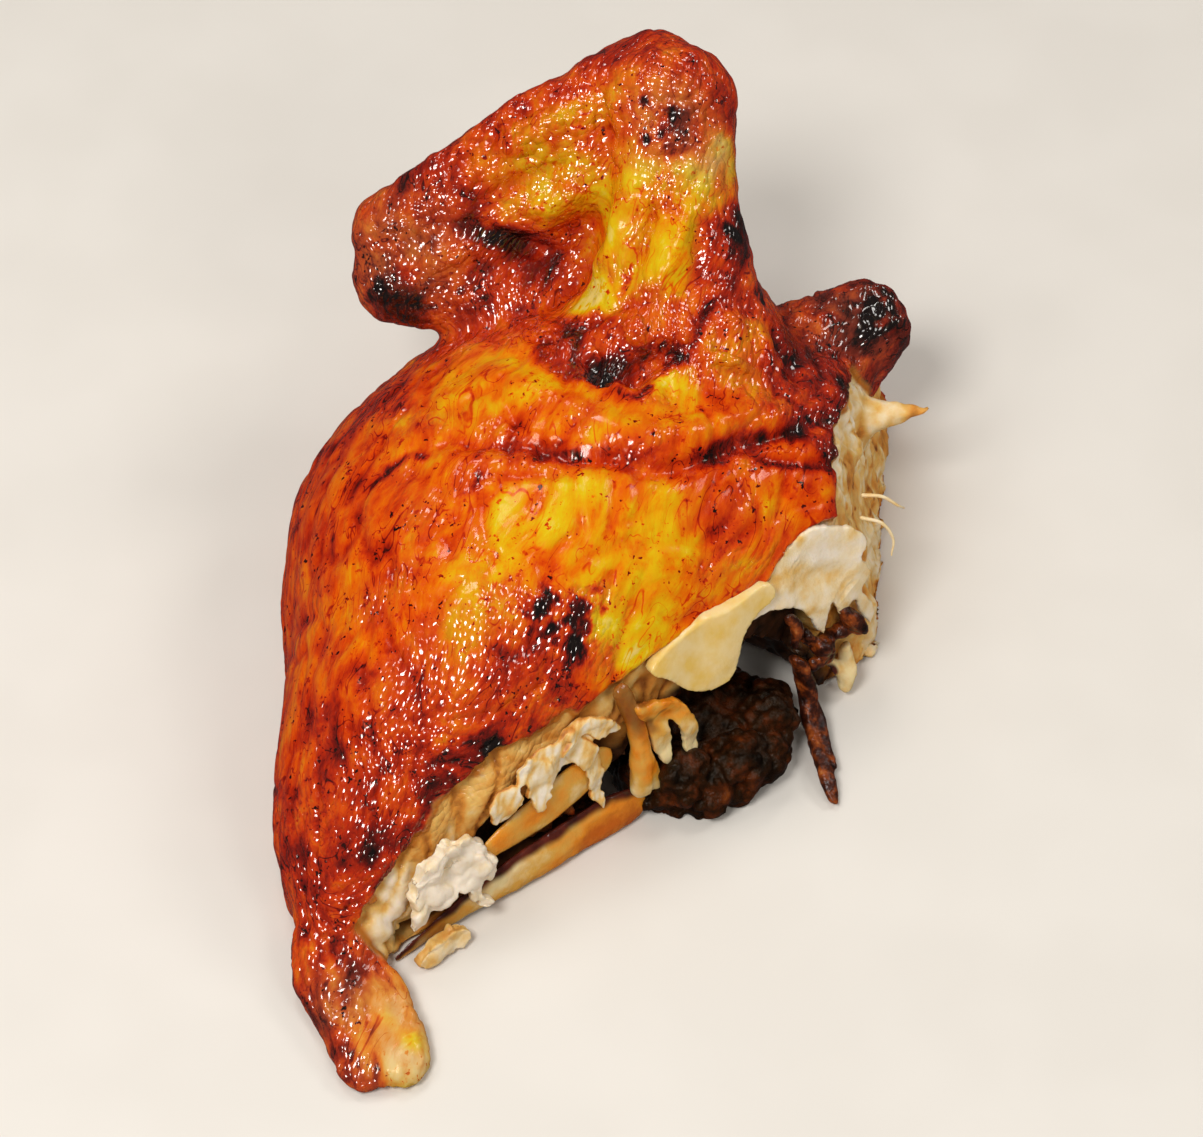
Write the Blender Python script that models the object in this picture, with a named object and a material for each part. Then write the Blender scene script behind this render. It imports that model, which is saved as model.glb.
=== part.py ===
"""A roast chicken breast quarter with its wing, lying on its cut side.

Metres, +Z up. +X runs along the breastbone cut from the tail tip to the neck end, the cut faces -Y, and the
piece rests on z = 0. The meat and skin, wing included, are one solid, because that is how the piece holds
together. The bones that show at the cuts are solids of their own.
"""

import math

import bmesh
import bpy
from mathutils import Matrix, Vector

MM = 0.001

# Driving dimensions, in millimetres.
BREAST_LENGTH = 160.0  # from the tail tip to where the dome would close past the neck cut
FRONT_POWER = 1.9  # 2 is an ellipse, more is squarer
BACK_POWER = 2.25
FRONT_CENTRE_Z = -15.0  # the cut side keeps widening down to the table and past it
BACK_CENTRE_Z = 7.0  # the far side turns under just above the table
TURN_UNDER = 12.0
BREASTBONE_CUT_LEAN = math.radians(8.0)  # how far the cut leans back as it rises
NECK_CUT_LEAN = math.radians(14.0)
NECK_CUT_AT = (121.0, 0.0)  # where the neck cut meets the breastbone cut, seen from above
NECK_CUT_TURN = math.radians(-42.0)  # the way the neck cut faces, from +X

# How the breast changes along X: (distance from the tail tip, value).
CREST_Y = ((0, 10), (25, 22), (60, 32), (100, 38), (160, 48))
BACK_Y = ((0, 20), (8, 34), (25, 56), (40, 77), (56, 91), (85, 97), (115, 90), (140, 72), (160, 56))
TOP_Z = ((0, 12), (12, 26), (25, 37), (45, 48), (70, 54), (95, 55), (120, 47), (140, 36), (160, 22))
EDGE_Z = ((0, 7), (10, 9), (28, 22), (48, 28), (72, 33), (95, 34), (120, 33), (160, 16))

# The wing's joints.
SHOULDER = Vector((112, 53, 42))
ELBOW = Vector((133, 83, 74))
WRIST = Vector((82, 100, 50))
WING_TIP = Vector((101, 79, 43))

# The hollow under the ribs, where the cut opens it, and the dark lining that lies in it.
RIB_HOLLOW_CENTRE = Vector((82, 2, 0))
RIB_HOLLOW_RADII = Vector((24, 27, 21))
LINING_CENTRE = Vector((81, 6, 0))
LINING_RADII = Vector((17, 16, 10))
LINING_BUMPS = 7
BUMP_RADIUS = 5.0
BUMP_HEIGHTS = (4.0, 7.0)
GAP = 0.3  # between pieces that touch

VOXEL = 1.5
STEPS_BETWEEN_POINTS = 6
RING_POINTS = 24
BONE_RING_POINTS = 12
STATIONS = 46
SECTION_POINTS = 40
MEAT_TRIANGLES_KEPT = 0.14
LINING_TRIANGLES_KEPT = 0.2


def clear_scene():
    for obj in list(bpy.data.objects):
        bpy.data.objects.remove(obj, do_unlink=True)


def catmull_rom(before, start, end, after, t):
    """The point at share t between start and end on a smooth curve. It takes numbers or vectors."""
    return 0.5 * (
        2 * start
        + (end - before) * t
        + (2 * before - 5 * start + 4 * end - after) * t**2
        + (3 * start - before - 3 * end + after) * t**3
    )


def profile(pairs, x):
    """The value at x on a smooth curve through the (x, value) pairs."""
    last = len(pairs) - 2
    i = next((k for k in range(last) if x < pairs[k + 1][0]), last)
    (x0, v0), (x1, v1) = pairs[i], pairs[i + 1]
    slopes = []
    for k in (i, i + 1):
        (xa, va), (xb, vb) = pairs[max(k - 1, 0)], pairs[min(k + 1, len(pairs) - 1)]
        slopes.append((vb - va) / (xb - xa) * (x1 - x0))
    t = (x - x0) / (x1 - x0)
    return (
        v0 * (2 * t**3 - 3 * t**2 + 1)
        + slopes[0] * (t**3 - 2 * t**2 + t)
        + v1 * (3 * t**2 - 2 * t**3)
        + slopes[1] * (t**3 - t**2)
    )


def smooth_path(points, values):
    """Points, and the values that go with them, filled in along a smooth curve."""
    path, filled = [], []
    for i in range(len(points) - 1):
        around = [max(i - 1, 0), i, i + 1, min(i + 2, len(points) - 1)]
        for step in range(STEPS_BETWEEN_POINTS):
            t = step / STEPS_BETWEEN_POINTS
            path.append(catmull_rom(*(points[k] for k in around), t))
            filled.append(catmull_rom(*(values[k] for k in around), t))
    return path + [points[-1]], filled + [values[-1]]


def skin_over(bm, rings):
    """Joins rings of equal size into a closed surface, with a fan at each end."""
    made = [[bm.verts.new(p) for p in ring] for ring in rings]
    count = len(made[0])
    for near, far in zip(made, made[1:]):
        for i in range(count):
            j = (i + 1) % count
            bm.faces.new((near[i], near[j], far[j], far[i]))
    for ring, flip in ((made[0], True), (made[-1], False)):
        centre = sum((v.co for v in ring), Vector()) / count
        tip = bm.verts.new(centre)
        for i in range(count):
            j = (i + 1) % count
            corners = (ring[j], ring[i], tip) if flip else (ring[i], ring[j], tip)
            bm.faces.new(corners)


def limb(bm, points, half_widths, half_depths, depth_towards, around=RING_POINTS):
    """A rounded, flattened tube along a smooth path. depth_towards is roughly its thin direction."""
    sizes = [Vector((w, d)) for w, d in zip(half_widths, half_depths)]
    path, sizes = smooth_path(points, sizes)
    rings = []
    last = len(path) - 1
    for i, (centre, size) in enumerate(zip(path, sizes)):
        ahead = (path[min(i + 1, last)] - path[max(i - 1, 0)]).normalized()
        wide = ahead.cross(depth_towards).normalized()
        deep = ahead.cross(wide)
        ring = [
            wide * (size.x * math.cos(a)) + deep * (size.y * math.sin(a))
            for a in (math.tau * k / around for k in range(around))
        ]
        if i == 0:
            rings += end_cap(centre, -ahead, ring)
        rings.append([centre + p for p in ring])
        if i == last:
            rings += reversed(end_cap(centre, ahead, ring))
    skin_over(bm, rings)


def end_cap(centre, out, ring):
    """Two shrinking rings that round off a limb's end, the outermost first."""
    reach = sum(p.length for p in ring) / len(ring)
    shrinking = []
    for angle in (math.radians(72), math.radians(40)):
        along = out * (reach * 0.8 * math.sin(angle))
        shrinking.append([centre + along + p * math.cos(angle) for p in ring])
    return shrinking


def lump(bm, centre, radii, turn=0.0):
    """An ellipsoid, turned about Z."""
    place = (
        Matrix.Translation(centre)
        @ Matrix.Rotation(turn, 4, "Z")
        @ Matrix.Diagonal((*radii, 1.0))
    )
    bmesh.ops.create_icosphere(bm, subdivisions=3, radius=1.0, matrix=place)


def block(bm, centre, size):
    place = Matrix.Translation(centre) @ Matrix.Diagonal((*size, 1))
    bmesh.ops.create_cube(bm, size=1.0, matrix=place)


def slab(bm, corners, half_thickness):
    """A flat web of skin between corners, thickened both ways along its normal."""
    normal = (corners[1] - corners[0]).cross(corners[2] - corners[0]).normalized()
    shift = normal * half_thickness
    top = [bm.verts.new(c + shift) for c in corners]
    bottom = [bm.verts.new(c - shift) for c in corners]
    bm.faces.new(top)
    bm.faces.new(reversed(bottom))
    for i in range(len(corners)):
        j = (i + 1) % len(corners)
        bm.faces.new((top[j], top[i], bottom[i], bottom[j]))


def breast_section(x):
    """One slice of the breast across X: a rounded hump whose crest lies nearer the cut."""
    crest_y, top_z, edge_z = profile(CREST_Y, x), profile(TOP_Z, x), profile(EDGE_Z, x)
    edge_y = edge_z * math.tan(BREASTBONE_CUT_LEAN)
    edge_share = (edge_z - FRONT_CENTRE_Z) / (top_z - FRONT_CENTRE_Z)
    front = (crest_y - edge_y) / (1 - edge_share**FRONT_POWER) ** (1 / FRONT_POWER)
    back = profile(BACK_Y, x) - crest_y
    ring = []
    for i in range(SECTION_POINTS):
        angle = math.tau * i / SECTION_POINTS
        at_front = math.cos(angle) > 0
        reach, power = (-front, FRONT_POWER) if at_front else (back, BACK_POWER)
        centre_z = FRONT_CENTRE_Z if at_front else BACK_CENTRE_Z
        across = reach * abs(math.cos(angle)) ** (2 / power)
        up = abs(math.sin(angle)) ** (2 / power)
        rise = top_z - centre_z if math.sin(angle) > 0 else -TURN_UNDER
        ring.append(Vector((x, crest_y + across, centre_z + rise * up)))
    return ring


def leaning(turn, lean):
    """The way a cut faces: turned from +X by turn, and tipped up by lean."""
    flat = math.cos(lean)
    return Vector((flat * math.cos(turn), flat * math.sin(turn), math.sin(lean)))


def add_breast(bm):
    """The dome, cut by the breastbone and neck planes as a knife would."""
    breast = bmesh.new()
    xs = [BREAST_LENGTH * (1 - math.cos(math.pi * i / STATIONS)) / 2 for i in range(STATIONS + 1)]
    skin_over(breast, [breast_section(x) for x in xs])
    breastbone_cut = leaning(math.radians(-90), BREASTBONE_CUT_LEAN)
    neck_cut = leaning(NECK_CUT_TURN, NECK_CUT_LEAN)
    for point, faces in ((Vector(), breastbone_cut), (Vector((*NECK_CUT_AT, 0)), neck_cut)):
        geometry = breast.verts[:] + breast.edges[:] + breast.faces[:]
        cut = bmesh.ops.bisect_plane(
            breast, geom=geometry, plane_co=point, plane_no=faces, clear_outer=True
        )
        edges = [e for e in cut["geom_cut"] if isinstance(e, bmesh.types.BMEdge)]
        bmesh.ops.holes_fill(breast, edges=edges)
    bmesh.ops.recalc_face_normals(breast, faces=breast.faces)
    take_over(bm, breast)


def take_over(bm, other):
    """Moves another bmesh's shape into bm."""
    carried = bpy.data.meshes.new("carried")
    other.to_mesh(carried)
    other.free()
    bm.from_mesh(carried)
    bpy.data.meshes.remove(carried)


def add_wing(bm):
    up = Vector((-0.2, -0.5, 0.85))
    lump(bm, (111, 54, 35), (27, 24, 24), math.radians(35))
    drumette = [SHOULDER, Vector((119, 63, 54)), Vector((126, 73, 65)), ELBOW]
    limb(bm, drumette, (19.5, 14.5, 11.5, 12.5), (14, 12, 11, 11), up)
    leading = [ELBOW + Vector((2, 4, -1)), Vector((108, 95, 66)), WRIST + Vector((1, 4, 1))]
    trailing = [ELBOW + Vector((-4, -3, -3)), Vector((105, 88, 59)), WRIST + Vector((4, -4, 0))]
    limb(bm, leading, (11, 8, 7.5), (9, 7, 7), up)
    limb(bm, trailing, (9, 5.5, 6), (8, 5, 6), up)
    tip = [WRIST + Vector((-1, 0, -4)), Vector((91, 90, 45)), WING_TIP]
    limb(bm, tip, (9, 9, 7.5), (7.5, 7, 6), up)
    web = Vector((0, 0, -3))
    slab(bm, [ELBOW + web, SHOULDER + web, WING_TIP + web, WRIST + web], 4.0)


def add_neck_lobe(bm):
    """The dark lobe of skin and meat left of the neck, past the shoulder, and the shard below it."""
    up = Vector((0, 0, 1))
    lobe = [Vector((124, 50, 25)), Vector((141, 48, 28)), Vector((154, 46, 31))]
    limb(bm, lobe, (12, 10.5, 9), (11, 10, 9), up)
    shard = [Vector((134, 37, 24)), Vector((144, 30, 26)), Vector((152.5, 25, 27))]
    limb(bm, shard, (7, 4.5, 2), (6, 4, 2), up)


def add_skin_strip(bm):
    """The strip of skin that trails from the tail tip onto the table, with a flap beside it."""
    up = Vector((0, 0, 1))
    strip = [Vector((9, 12, 8)), Vector((-1, 3, 4)), Vector((-6, -9, 2.5)), Vector((-9, -18, 2))]
    limb(bm, strip, (10, 7.5, 5, 3.5), (7, 4.5, 2.8, 2.2), up)
    flap = [Vector((3, -2, 3.5)), Vector((-1, -13, 3)), Vector((-2, -21, 2.2))]
    limb(bm, flap, (5, 6.5, 4.5), (3, 2.6, 2.2), up)


def object_from(bm, name, scale=MM):
    bmesh.ops.scale(bm, vec=(scale, scale, scale), verts=bm.verts)
    mesh = bpy.data.meshes.new(name)
    bm.to_mesh(mesh)
    bm.free()
    obj = bpy.data.objects.new(name, mesh)
    bpy.context.scene.collection.objects.link(obj)
    return obj


def cutter(name, build, *sizes):
    bm = bmesh.new()
    build(bm, *sizes)
    obj = object_from(bm, name)
    obj.hide_render = True
    obj.display_type = "WIRE"
    return obj


def fuse(obj, triangles_kept, smoothing=0):
    """Joins overlapping shapes into one skin, softens it and thins its triangles."""
    join = obj.modifiers.new("fuse", "REMESH")
    join.mode = "VOXEL"
    join.voxel_size = VOXEL * MM
    if smoothing:
        soften = obj.modifiers.new("soften", "SMOOTH")
        soften.factor = 0.5
        soften.iterations = smoothing
    thin = obj.modifiers.new("thin", "DECIMATE")
    thin.ratio = triangles_kept


def cut_away(obj, name, build, *sizes):
    """Takes the shape that build makes out of obj."""
    cut = obj.modifiers.new(name, "BOOLEAN")
    cut.operation = "DIFFERENCE"
    cut.object = cutter(name, build, *sizes)


def below_table(bm, height=0.0):
    block(bm, (60, 40, height - 25), (300, 300, 50))


def breastbone_blade(bm, margin=0.0):
    """Half of the split breastbone: a thin curved blade along the foot of the cut."""
    path = [Vector((14, 0, 6)), Vector((36, 0.4, 8.5)), Vector((57, 0, 7))]
    heights = [h + margin for h in (4.0, 7.0, 6.0)]
    thicknesses = [t + margin for t in (1.5, 1.9, 1.6)]
    limb(bm, path, heights, thicknesses, Vector((0, 1, -0.14)), BONE_RING_POINTS)


def wishbone_knob(bm, margin=0.0):
    """The knob of gristle where the wishbone was cut through."""
    path = [Vector((113, 0.4, 11.5)), Vector((112, -0.6, 8)), Vector((111, -2.2, 5))]
    widths = [w + margin for w in (2.0, 2.2, 3.2)]
    limb(bm, path, widths, widths, Vector((0, 1, 0)), BONE_RING_POINTS)


def make_meat():
    bm = bmesh.new()
    add_breast(bm)
    add_wing(bm)
    add_neck_lobe(bm)
    add_skin_strip(bm)
    meat = object_from(bm, "meat_and_skin")
    fuse(meat, MEAT_TRIANGLES_KEPT, smoothing=6)
    cut_away(meat, "rib_hollow_cutter", lump, RIB_HOLLOW_CENTRE, RIB_HOLLOW_RADII)
    cut_away(meat, "breastbone_cutter", breastbone_blade, GAP)
    cut_away(meat, "wishbone_cutter", wishbone_knob, GAP)
    cut_away(meat, "table_cutter", below_table)
    return meat


def make_rib_lining():
    """The dark, lumpy mass of ribs and lining that lies in the hollow and shows at the cut."""
    bm = bmesh.new()
    lump(bm, LINING_CENTRE, LINING_RADII)
    for i in range(LINING_BUMPS):
        angle = math.radians(200 + 140 * i / (LINING_BUMPS - 1))
        around = Vector((LINING_RADII.x * math.cos(angle), LINING_RADII.y * math.sin(angle), 0))
        height = Vector((0, 0, BUMP_HEIGHTS[i % 2]))
        lump(bm, LINING_CENTRE + 0.8 * around + height, [BUMP_RADIUS] * 3)
    lining = object_from(bm, "rib_lining")
    fuse(lining, LINING_TRIANGLES_KEPT)
    cut_away(lining, "lining_foot_cutter", below_table, GAP)
    return lining


def make_bone(name, build):
    bm = bmesh.new()
    build(bm)
    return object_from(bm, name)


def paint(obj, colour, roughness):
    material = bpy.data.materials.new(obj.name)
    material.use_nodes = True
    surface = material.node_tree.nodes["Principled BSDF"]
    surface.inputs["Base Color"].default_value = (*colour, 1.0)
    surface.inputs["Roughness"].default_value = roughness
    obj.data.materials.append(material)
    obj.data.shade_smooth()


def stand_on_origin(pieces):
    """Hangs every piece on one empty, which puts the middle of their footprint at the origin."""
    shapes = bpy.context.evaluated_depsgraph_get()
    corners = [Vector(c) for piece in pieces for c in piece.evaluated_get(shapes).bound_box]
    low = [min(c[axis] for c in corners) for axis in (0, 1)]
    high = [max(c[axis] for c in corners) for axis in (0, 1)]
    rest_point = bpy.data.objects.new("rest_point", None)
    bpy.context.scene.collection.objects.link(rest_point)
    rest_point.location = (-(low[0] + high[0]) / 2, -(low[1] + high[1]) / 2, 0)
    for obj in bpy.context.scene.objects:
        if obj != rest_point:
            obj.parent = rest_point


def main():
    clear_scene()
    meat = make_meat()
    lining = make_rib_lining()
    breastbone = make_bone("breastbone", breastbone_blade)
    wishbone = make_bone("wishbone_end", wishbone_knob)
    paint(meat, (0.72, 0.17, 0.02), 0.35)
    paint(lining, (0.05, 0.02, 0.01), 0.5)
    paint(breastbone, (0.70, 0.46, 0.20), 0.5)
    paint(wishbone, (0.72, 0.42, 0.30), 0.4)
    stand_on_origin([meat, lining, breastbone, wishbone])


main()
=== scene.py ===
"""The looks of a roast chicken breast quarter with its wing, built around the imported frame.

Lengths are millimetres in the part's design frame: +X runs along the breastbone cut from the tail tip to
the neck end, +Y to the bird's back, and +Z up from the table. to_row() turns them into the frame's metres.
"""

import math
from types import SimpleNamespace

import bmesh
import bpy
import numpy as np
from mathutils import Matrix, Vector, noise


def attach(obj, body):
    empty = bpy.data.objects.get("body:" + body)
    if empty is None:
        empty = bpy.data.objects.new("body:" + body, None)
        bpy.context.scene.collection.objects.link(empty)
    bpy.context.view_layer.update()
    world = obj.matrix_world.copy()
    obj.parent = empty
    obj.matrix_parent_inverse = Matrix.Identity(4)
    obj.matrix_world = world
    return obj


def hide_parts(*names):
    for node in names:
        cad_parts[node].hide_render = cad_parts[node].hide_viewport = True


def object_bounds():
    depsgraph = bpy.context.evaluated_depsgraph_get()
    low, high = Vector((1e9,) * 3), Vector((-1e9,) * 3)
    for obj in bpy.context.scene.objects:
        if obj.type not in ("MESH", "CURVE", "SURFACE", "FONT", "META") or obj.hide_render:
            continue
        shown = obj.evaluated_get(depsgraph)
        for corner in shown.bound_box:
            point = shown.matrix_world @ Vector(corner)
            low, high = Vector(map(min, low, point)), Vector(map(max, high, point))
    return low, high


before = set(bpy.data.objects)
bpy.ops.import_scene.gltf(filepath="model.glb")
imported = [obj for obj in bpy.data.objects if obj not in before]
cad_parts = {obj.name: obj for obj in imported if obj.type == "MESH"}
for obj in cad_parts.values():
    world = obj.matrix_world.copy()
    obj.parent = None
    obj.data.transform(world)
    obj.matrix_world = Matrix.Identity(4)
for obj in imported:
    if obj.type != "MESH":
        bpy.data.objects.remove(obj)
CAD_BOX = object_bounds()

MM = 0.001
SKIN_VOXEL = 0.72
SKIN_SMOOTHING = 18
MEAT_TRIANGLES = 196000
CONTACT = 0.6  # how high above the table a piece starts to flatten
BOX_CORNER = Vector((-11.9, -23.0, 0.0))  # the CAD box's low corner, counted from the tail tip
ORIGIN = Vector(CAD_BOX[0]) - BOX_CORNER * MM
SEED_STEP = (17.3, 5.1, 29.7)  # how far apart in the noise two seeds next to each other read
RIDGE_SHAPE = (1.0, 2.1, 3, 1.0, 2.0)  # dimension, lacunarity, octaves, offset and gain

# The two cuts: a point on each, and the way it faces. The breastbone cut leans back by CUT_SLOPE, and OUT
# is the way it faces.
BREASTBONE_CUT = (Vector((0, 0, 0)), Vector((0, -0.99, 0.139)))
NECK_CUT = (Vector((121, 0, 0)), Vector((0.721, -0.649, 0.242)))
CUT_SLOPE = 0.141
OUT = BREASTBONE_CUT[1]
RIB_HOLLOW_CENTRE = (82, 2, 0)
RIB_HOLLOW_RADII = (24, 27, 21)


# -------- arrays and fields


def to_row(point):
    return Vector(point) * MM + ORIGIN


def unit(x):
    """x, held between 0 and 1."""
    return np.clip(x, 0, 1)


def smooth(low, high, x):
    """0 below low, 1 above high, and a smooth step between. With high below low it falls instead."""
    t = unit((x - low) / (high - low))
    return t * t * (3 - 2 * t)


def hump(distance, width):
    return np.exp(-((distance / width) ** 2))


def profile(x, stops):
    """The height at x of the line through the stops, each (x, height)."""
    return np.interp(x, *zip(*stops))


def scaled(points, size, seed):
    return (points / size + np.array(SEED_STEP) * seed).tolist()


def waves(points, size, seed):
    """Smooth noise from about -1 to 1, with its bumps about size apart."""
    return np.array([noise.noise(p) for p in scaled(points, size, seed)])


def ridges(points, size, seed):
    """Noise from 0 to about 1 that peaks in thin ridges."""
    made = [noise.ridged_multi_fractal(p, *RIDGE_SHAPE) for p in scaled(points, size, seed)]
    return np.clip(np.array(made) / 2.2, 0.0, 1.2)


def creases(points, size, seed, sharp=0.12):
    """1 on thin wandering lines about size apart, and 0 between them."""
    return hump(waves(points, size, seed), sharp)


def bubbles(points, size, seed):
    """Round bumps about size apart, from 0 between them to 1 on top."""
    nearest = np.array([noise.voronoi(p)[0][0] for p in scaled(points, size, seed)])
    return unit(1 - 1.6 * nearest**2)


def along_grain(points, direction, stretch):
    """The points with their distances along direction shortened, so that noise on them runs that way."""
    direction = np.array(Vector(direction).normalized())
    run = points @ direction
    return points - np.outer(run * (1 - 1 / stretch), direction)


def warped(points, size, amount, seed):
    """The points moved about by smooth noise, to break up round shapes."""
    moved = [waves(points, size, seed + i) for i in range(3)]
    return points + amount * np.array(moved).T


def inward(points, cut):
    """How deep each point lies behind a cut."""
    start, faces = cut
    return -(points - np.array(start)) @ np.array(faces)


def curve(points, spacing=1.0, closed=False):
    """A smooth line through the points, as an array of close points."""
    points = [Vector(p) for p in points]
    if closed:
        ends = points[-1:] + points + points[:2]
    else:
        ends = [2 * points[0] - points[1]] + points + [2 * points[-1] - points[-2]]
    path = []
    for a, b, c, d in zip(ends, ends[1:], ends[2:], ends[3:]):
        steps = max(int((c - b).length / spacing), 2)
        for i in range(steps):
            t = i / steps
            bend = (2 * a - 5 * b + 4 * c - d) * t**2 + (3 * b - a - 3 * c + d) * t**3
            path.append(0.5 * (2 * b + (c - a) * t + bend))
    return np.array(path if closed else path + [points[-1]])


def near(points, path):
    """Each point's distance from a path, and how far along it that is, from 0 to 1."""
    best = np.full(len(points), 1e9)
    share = np.zeros(len(points))
    for i, spot in enumerate(path):
        distance = ((points - spot) ** 2).sum(1)
        closer = distance < best
        best[closer] = distance[closer]
        share[closer] = i / (len(path) - 1)
    return np.sqrt(best), share


def line(points, spots, width, fade=0.12):
    """1 on a curve through the spots, falling off over width, and fading out at its ends."""
    distance, share = near(points, curve(spots))
    ends = smooth(0, fade, share) * smooth(0, fade, 1 - share)
    return hump(distance, width) * ends


def patch(points, centre, radius):
    return hump(np.sqrt(((points - np.array(centre)) ** 2).sum(1)), radius)


def patches(points, spots, ragged=1.0):
    """The sum of a patch at each spot, a list of (x, y, z, radius)."""
    return sum(patch(points, place, radius * ragged) for *place, radius in spots)


# -------- meshes


class Surface:
    """A mesh object with its points and normals as arrays, in design millimetres."""

    def __init__(self, obj):
        self.obj = obj
        co = np.empty(len(obj.data.vertices) * 3)
        obj.data.vertices.foreach_get("co", co)
        self.points = (co.reshape(-1, 3) - np.array(ORIGIN)) / MM
        self.settle()

    def settle(self):
        """Writes the points to the mesh and reads the normals again."""
        mesh = self.obj.data
        mesh.vertices.foreach_set("co", (self.points * MM + np.array(ORIGIN)).ravel())
        mesh.update()
        normals = np.empty(len(mesh.vertices) * 3)
        mesh.vertex_normals.foreach_get("vector", normals)
        self.normals = normals.reshape(-1, 3)

    def push(self, heights):
        """Moves the points out along their normals."""
        self.points += self.normals * heights[:, None]
        self.settle()

    def press(self, direction, depths):
        """Moves the points along one direction."""
        self.points += np.outer(depths, np.array(direction))
        self.settle()

    def keep(self, **values):
        """Stores a value or a place for each point, for the material to read by its name."""
        for name, each in values.items():
            kind, key = (("FLOAT", "value"), ("FLOAT_VECTOR", "vector"))[each.ndim - 1]
            stored = self.obj.data.attributes.new(name, kind, "POINT")
            stored.data.foreach_set(key, each.astype(np.float32).ravel())

    def rest(self):
        """Squeezes the part near and below the table into a thin layer just above it."""
        low = np.minimum(self.points[:, 2], CONTACT)
        self.points[:, 2] += CONTACT * np.exp(low / CONTACT - 1) - low
        self.settle()

    def finish(self, material, slot, *nodes):
        self.rest()
        obj = self.obj
        obj.data.materials.clear()
        obj.data.materials.append(material)
        obj.data.shade_smooth()
        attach(obj, "root")
        if nodes:
            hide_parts(*nodes)


def in_scene(name, data):
    obj = bpy.data.objects.new(name, data)
    bpy.context.scene.collection.objects.link(obj)
    return obj


def piece_of(bm, name):
    """A new object with the shape in bm, which is used up."""
    mesh = bpy.data.meshes.new(name)
    bm.to_mesh(mesh)
    bm.free()
    return in_scene(name, mesh)


def evaluated(obj):
    """Replaces the object's mesh with what its modifiers make of it."""
    shapes = bpy.context.evaluated_depsgraph_get()
    mesh = bpy.data.meshes.new_from_object(obj.evaluated_get(shapes))
    obj.modifiers.clear()
    obj.data = mesh
    return obj


def remeshed(obj, voxel, smoothing):
    fuse = obj.modifiers.new("fuse", "REMESH")
    fuse.mode = "VOXEL"
    fuse.voxel_size = voxel * MM
    soften = obj.modifiers.new("soften", "SMOOTH")
    soften.factor = 0.5
    soften.iterations = smoothing
    return evaluated(obj)


def thinned(obj, triangles):
    """Fewer triangles, taken from the underside and the far side low down."""
    y, z = Surface(obj).points.T[1:]
    plain = unit(smooth(3, 1, z) + smooth(30, 18, z) * smooth(55, 75, y))
    group = obj.vertex_groups.new(name="plain")
    for level in (0.5, 1.0):
        group.add(np.flatnonzero(plain >= level).tolist(), level, "REPLACE")
    fewer = obj.modifiers.new("fewer", "DECIMATE")
    fewer.vertex_group = "plain"
    fewer.ratio = triangles / (2 * len(obj.data.polygons))
    return evaluated(obj)


def copy_of(node, name):
    """The CAD node's shape as a new object, with its points joined up."""
    bm = bmesh.new()
    bm.from_mesh(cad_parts[node].data)
    bmesh.ops.remove_doubles(bm, verts=bm.verts, dist=1e-6)
    return piece_of(bm, name)


def moulded(name, chains, voxel, smoothing, thin=(0, 1, 0), thickness=1.0):
    """One solid fused from balls strung along each chain, a list of (x, y, z, radius).

    Every ball is squashed along the direction thin, to its thickness times its radius.
    """
    squash = Matrix.Scale(thickness, 4, Vector(thin).normalized())
    bm = bmesh.new()
    for chain in chains:
        path = curve([place for *place, radius in chain], 0.5)
        links = np.linspace(0, len(chain) - 1, len(path))
        radii = np.interp(links, range(len(chain)), [radius for *place, radius in chain])
        for spot, radius in zip(path, radii):
            at = Matrix.Translation(to_row(spot)) @ squash @ Matrix.Scale(radius * MM, 4)
            bmesh.ops.create_icosphere(bm, subdivisions=2, radius=1.0, matrix=at)
    return Surface(remeshed(piece_of(bm, name), voxel, smoothing))


# -------- meat and skin

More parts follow.
